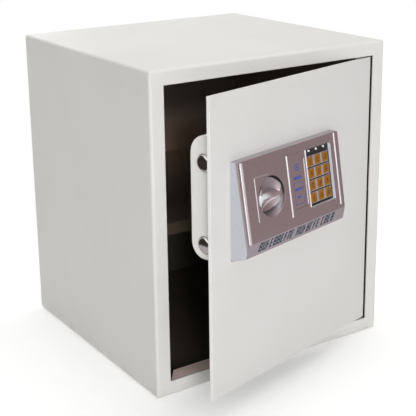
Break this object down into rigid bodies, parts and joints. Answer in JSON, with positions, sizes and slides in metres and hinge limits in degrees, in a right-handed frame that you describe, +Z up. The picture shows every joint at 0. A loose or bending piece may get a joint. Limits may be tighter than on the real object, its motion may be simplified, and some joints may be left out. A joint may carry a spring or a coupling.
{
  "type": "electronic safe",
  "caption": "Free-standing steel home safe with a flush door, a keypad and knob panel, sliding locking bolts and a shelf inside.",
  "frame": {"origin": "middle of the cabinet's base, centre of the four anchor holes", "axes": "+X to the right seen from the front, on the hinge side; +Y from the front frame to the back; +Z up"},
  "size_m": [0.35, 0.4176, 0.4],
  "materials": {
    "cream_paint": "fine powder coat",
    "dark_inside": "thin dark inside paint",
    "mat_felt": "needle felt",
    "zinc_plate": "zinc plated",
    "bright_steel": "polished plating",
    "silver_plastic": "metallic silver paint on plastic",
    "black_plastic": "satin moulding",
    "bright_plastic": "bright silver",
    "gold_keys": "gold paint with black digits",
    "board": "solder mask",
    "lamp": "clear lens",
    "brass": "turned",
    "copper": "enamelled wire",
    "cell": "battery jacket",
    "red_plastic": "moulded",
    "lead": "insulated wire"
  },
  "bodies": {
    "cabinet": {"cabinet_shell": "cream_paint", "doorway_lips": "cream_paint", "back_panel": "dark_inside", "shelf": "dark_inside", "shelf_brackets": "dark_inside", "floor_mat": "mat_felt", "hinge_bushes": "zinc_plate", "hinge_washer": "zinc_plate"},
    "door": {"door_plate": "cream_paint", "housing_studs": "bright_steel", "hinge_stile": "cream_paint", "hinge_pins": "bright_steel", "bolt_housing": "cream_paint", "housing_nuts": "zinc_plate", "bolt_guide": "zinc_plate", "guide_studs": "bright_steel", "control_panel": "silver_plastic", "panel_screws": "zinc_plate", "keypad_plate": "black_plastic", "key_frames": "bright_plastic", "keypad_board": "board", "indicator_lights": "lamp", "key_lock_barrel": "bright_steel", "key_lock_nut": "zinc_plate", "solenoid_frame": "zinc_plate", "solenoid_coil": "copper", "plunger_spring": "bright_steel", "main_board": "board", "battery_box": "black_plastic", "battery_contacts": "bright_steel", "batteries": "cell", "reset_switch": "black_plastic", "wire_loom": "lead"},
    "knob": {"knob": "silver_plastic", "knob_shaft": "bright_steel", "drive_cam": "zinc_plate", "cam_clip": "zinc_plate"},
    "carriage": {"bolt_carriage": "zinc_plate", "locking_bolts": "bright_steel", "carriage_rivets": "zinc_plate"},
    "lock_plug": {"key_lock_plug": "brass", "lock_cam": "zinc_plate"},
    "plunger": {"solenoid_plunger": "bright_steel", "release_link": "zinc_plate"},
    "keyhole_cover": {"keyhole_cover": "silver_plastic"},
    "battery_cover": {"battery_cover": "cream_paint"},
    "reset_button": {"reset_button": "red_plastic"},
    "key_1": {"key_1": "gold_keys"},
    "key_2": {"key_2": "gold_keys"},
    "key_3": {"key_3": "gold_keys"},
    "key_4": {"key_4": "gold_keys"},
    "key_5": {"key_5": "gold_keys"},
    "key_6": {"key_6": "gold_keys"},
    "key_7": {"key_7": "gold_keys"},
    "key_8": {"key_8": "gold_keys"},
    "key_9": {"key_9": "gold_keys"},
    "key_a": {"key_a": "gold_keys"},
    "key_0": {"key_0": "gold_keys"},
    "key_b": {"key_b": "gold_keys"}
  },
  "joints": [
    {"name": "door_hinge", "type": "hinge", "parent": "cabinet", "child": "door", "pos_m": [0.1435, -0.157, 0.2], "axis": [0, 0, 1], "range_deg": [-14, 86]},
    {"name": "knob_turn", "type": "hinge", "parent": "door", "child": "knob", "pos_m": [-0.06066, -0.21615, 0.2524], "axis": [0.2419, -0.9703, 0], "range_deg": [0, 90]},
    {"name": "bolt_slide", "type": "slide", "parent": "door", "child": "carriage", "axis": [-0.9703, -0.2419, 0], "range_m": [0, 0.01796]},
    {"name": "key_turn", "type": "hinge", "parent": "door", "child": "lock_plug", "pos_m": [-0.01166, -0.20393, 0.25347], "axis": [0.2419, -0.9703, 0], "range_deg": [0, 90]},
    {"name": "plunger_pull", "type": "slide", "parent": "door", "child": "plunger", "axis": [0, 0, 1], "range_m": [0, 0.0035], "stiffness_N_per_m": 60, "springref_m": -0.006, "deforming": ["plunger_spring"]},
    {"name": "keyhole_cover_pull", "type": "slide", "parent": "door", "child": "keyhole_cover", "axis": [0.239, -0.9585, 0.1556], "range_m": [0, 0.015]},
    {"name": "battery_cover_slide", "type": "slide", "parent": "door", "child": "battery_cover", "axis": [0, 0, 1], "range_m": [0, 0.062]},
    {"name": "reset_press", "type": "slide", "parent": "door", "child": "reset_button", "axis": [0.2419, -0.9703, 0], "range_m": [0, 0.0015], "stiffness_N_per_m": 600, "springref_m": -0.0005},
    {"name": "key_1_press", "type": "slide", "parent": "door", "child": "key_1", "axis": [-0.239, 0.9585, -0.1556], "range_m": [0, 0.0012], "stiffness_N_per_m": 500, "springref_m": -0.0003},
    {"name": "key_2_press", "type": "slide", "parent": "door", "child": "key_2", "axis": [-0.239, 0.9585, -0.1556], "range_m": [0, 0.0012], "stiffness_N_per_m": 500, "springref_m": -0.0003},
    {"name": "key_3_press", "type": "slide", "parent": "door", "child": "key_3", "axis": [-0.239, 0.9585, -0.1556], "range_m": [0, 0.0012], "stiffness_N_per_m": 500, "springref_m": -0.0003},
    {"name": "key_4_press", "type": "slide", "parent": "door", "child": "key_4", "axis": [-0.239, 0.9585, -0.1556], "range_m": [0, 0.0012], "stiffness_N_per_m": 500, "springref_m": -0.0003},
    {"name": "key_5_press", "type": "slide", "parent": "door", "child": "key_5", "axis": [-0.239, 0.9585, -0.1556], "range_m": [0, 0.0012], "stiffness_N_per_m": 500, "springref_m": -0.0003},
    {"name": "key_6_press", "type": "slide", "parent": "door", "child": "key_6", "axis": [-0.239, 0.9585, -0.1556], "range_m": [0, 0.0012], "stiffness_N_per_m": 500, "springref_m": -0.0003},
    {"name": "key_7_press", "type": "slide", "parent": "door", "child": "key_7", "axis": [-0.239, 0.9585, -0.1556], "range_m": [0, 0.0012], "stiffness_N_per_m": 500, "springref_m": -0.0003},
    {"name": "key_8_press", "type": "slide", "parent": "door", "child": "key_8", "axis": [-0.239, 0.9585, -0.1556], "range_m": [0, 0.0012], "stiffness_N_per_m": 500, "springref_m": -0.0003},
    {"name": "key_9_press", "type": "slide", "parent": "door", "child": "key_9", "axis": [-0.239, 0.9585, -0.1556], "range_m": [0, 0.0012], "stiffness_N_per_m": 500, "springref_m": -0.0003},
    {"name": "key_a_press", "type": "slide", "parent": "door", "child": "key_a", "axis": [-0.239, 0.9585, -0.1556], "range_m": [0, 0.0012], "stiffness_N_per_m": 500, "springref_m": -0.0003},
    {"name": "key_0_press", "type": "slide", "parent": "door", "child": "key_0", "axis": [-0.239, 0.9585, -0.1556], "range_m": [0, 0.0012], "stiffness_N_per_m": 500, "springref_m": -0.0003},
    {"name": "key_b_press", "type": "slide", "parent": "door", "child": "key_b", "axis": [-0.239, 0.9585, -0.1556], "range_m": [0, 0.0012], "stiffness_N_per_m": 500, "springref_m": -0.0003}
  ],
  "couplings": [
    {"joint": "knob_turn", "follows": "bolt_slide", "rad_per_m": 87.458}
  ]
}
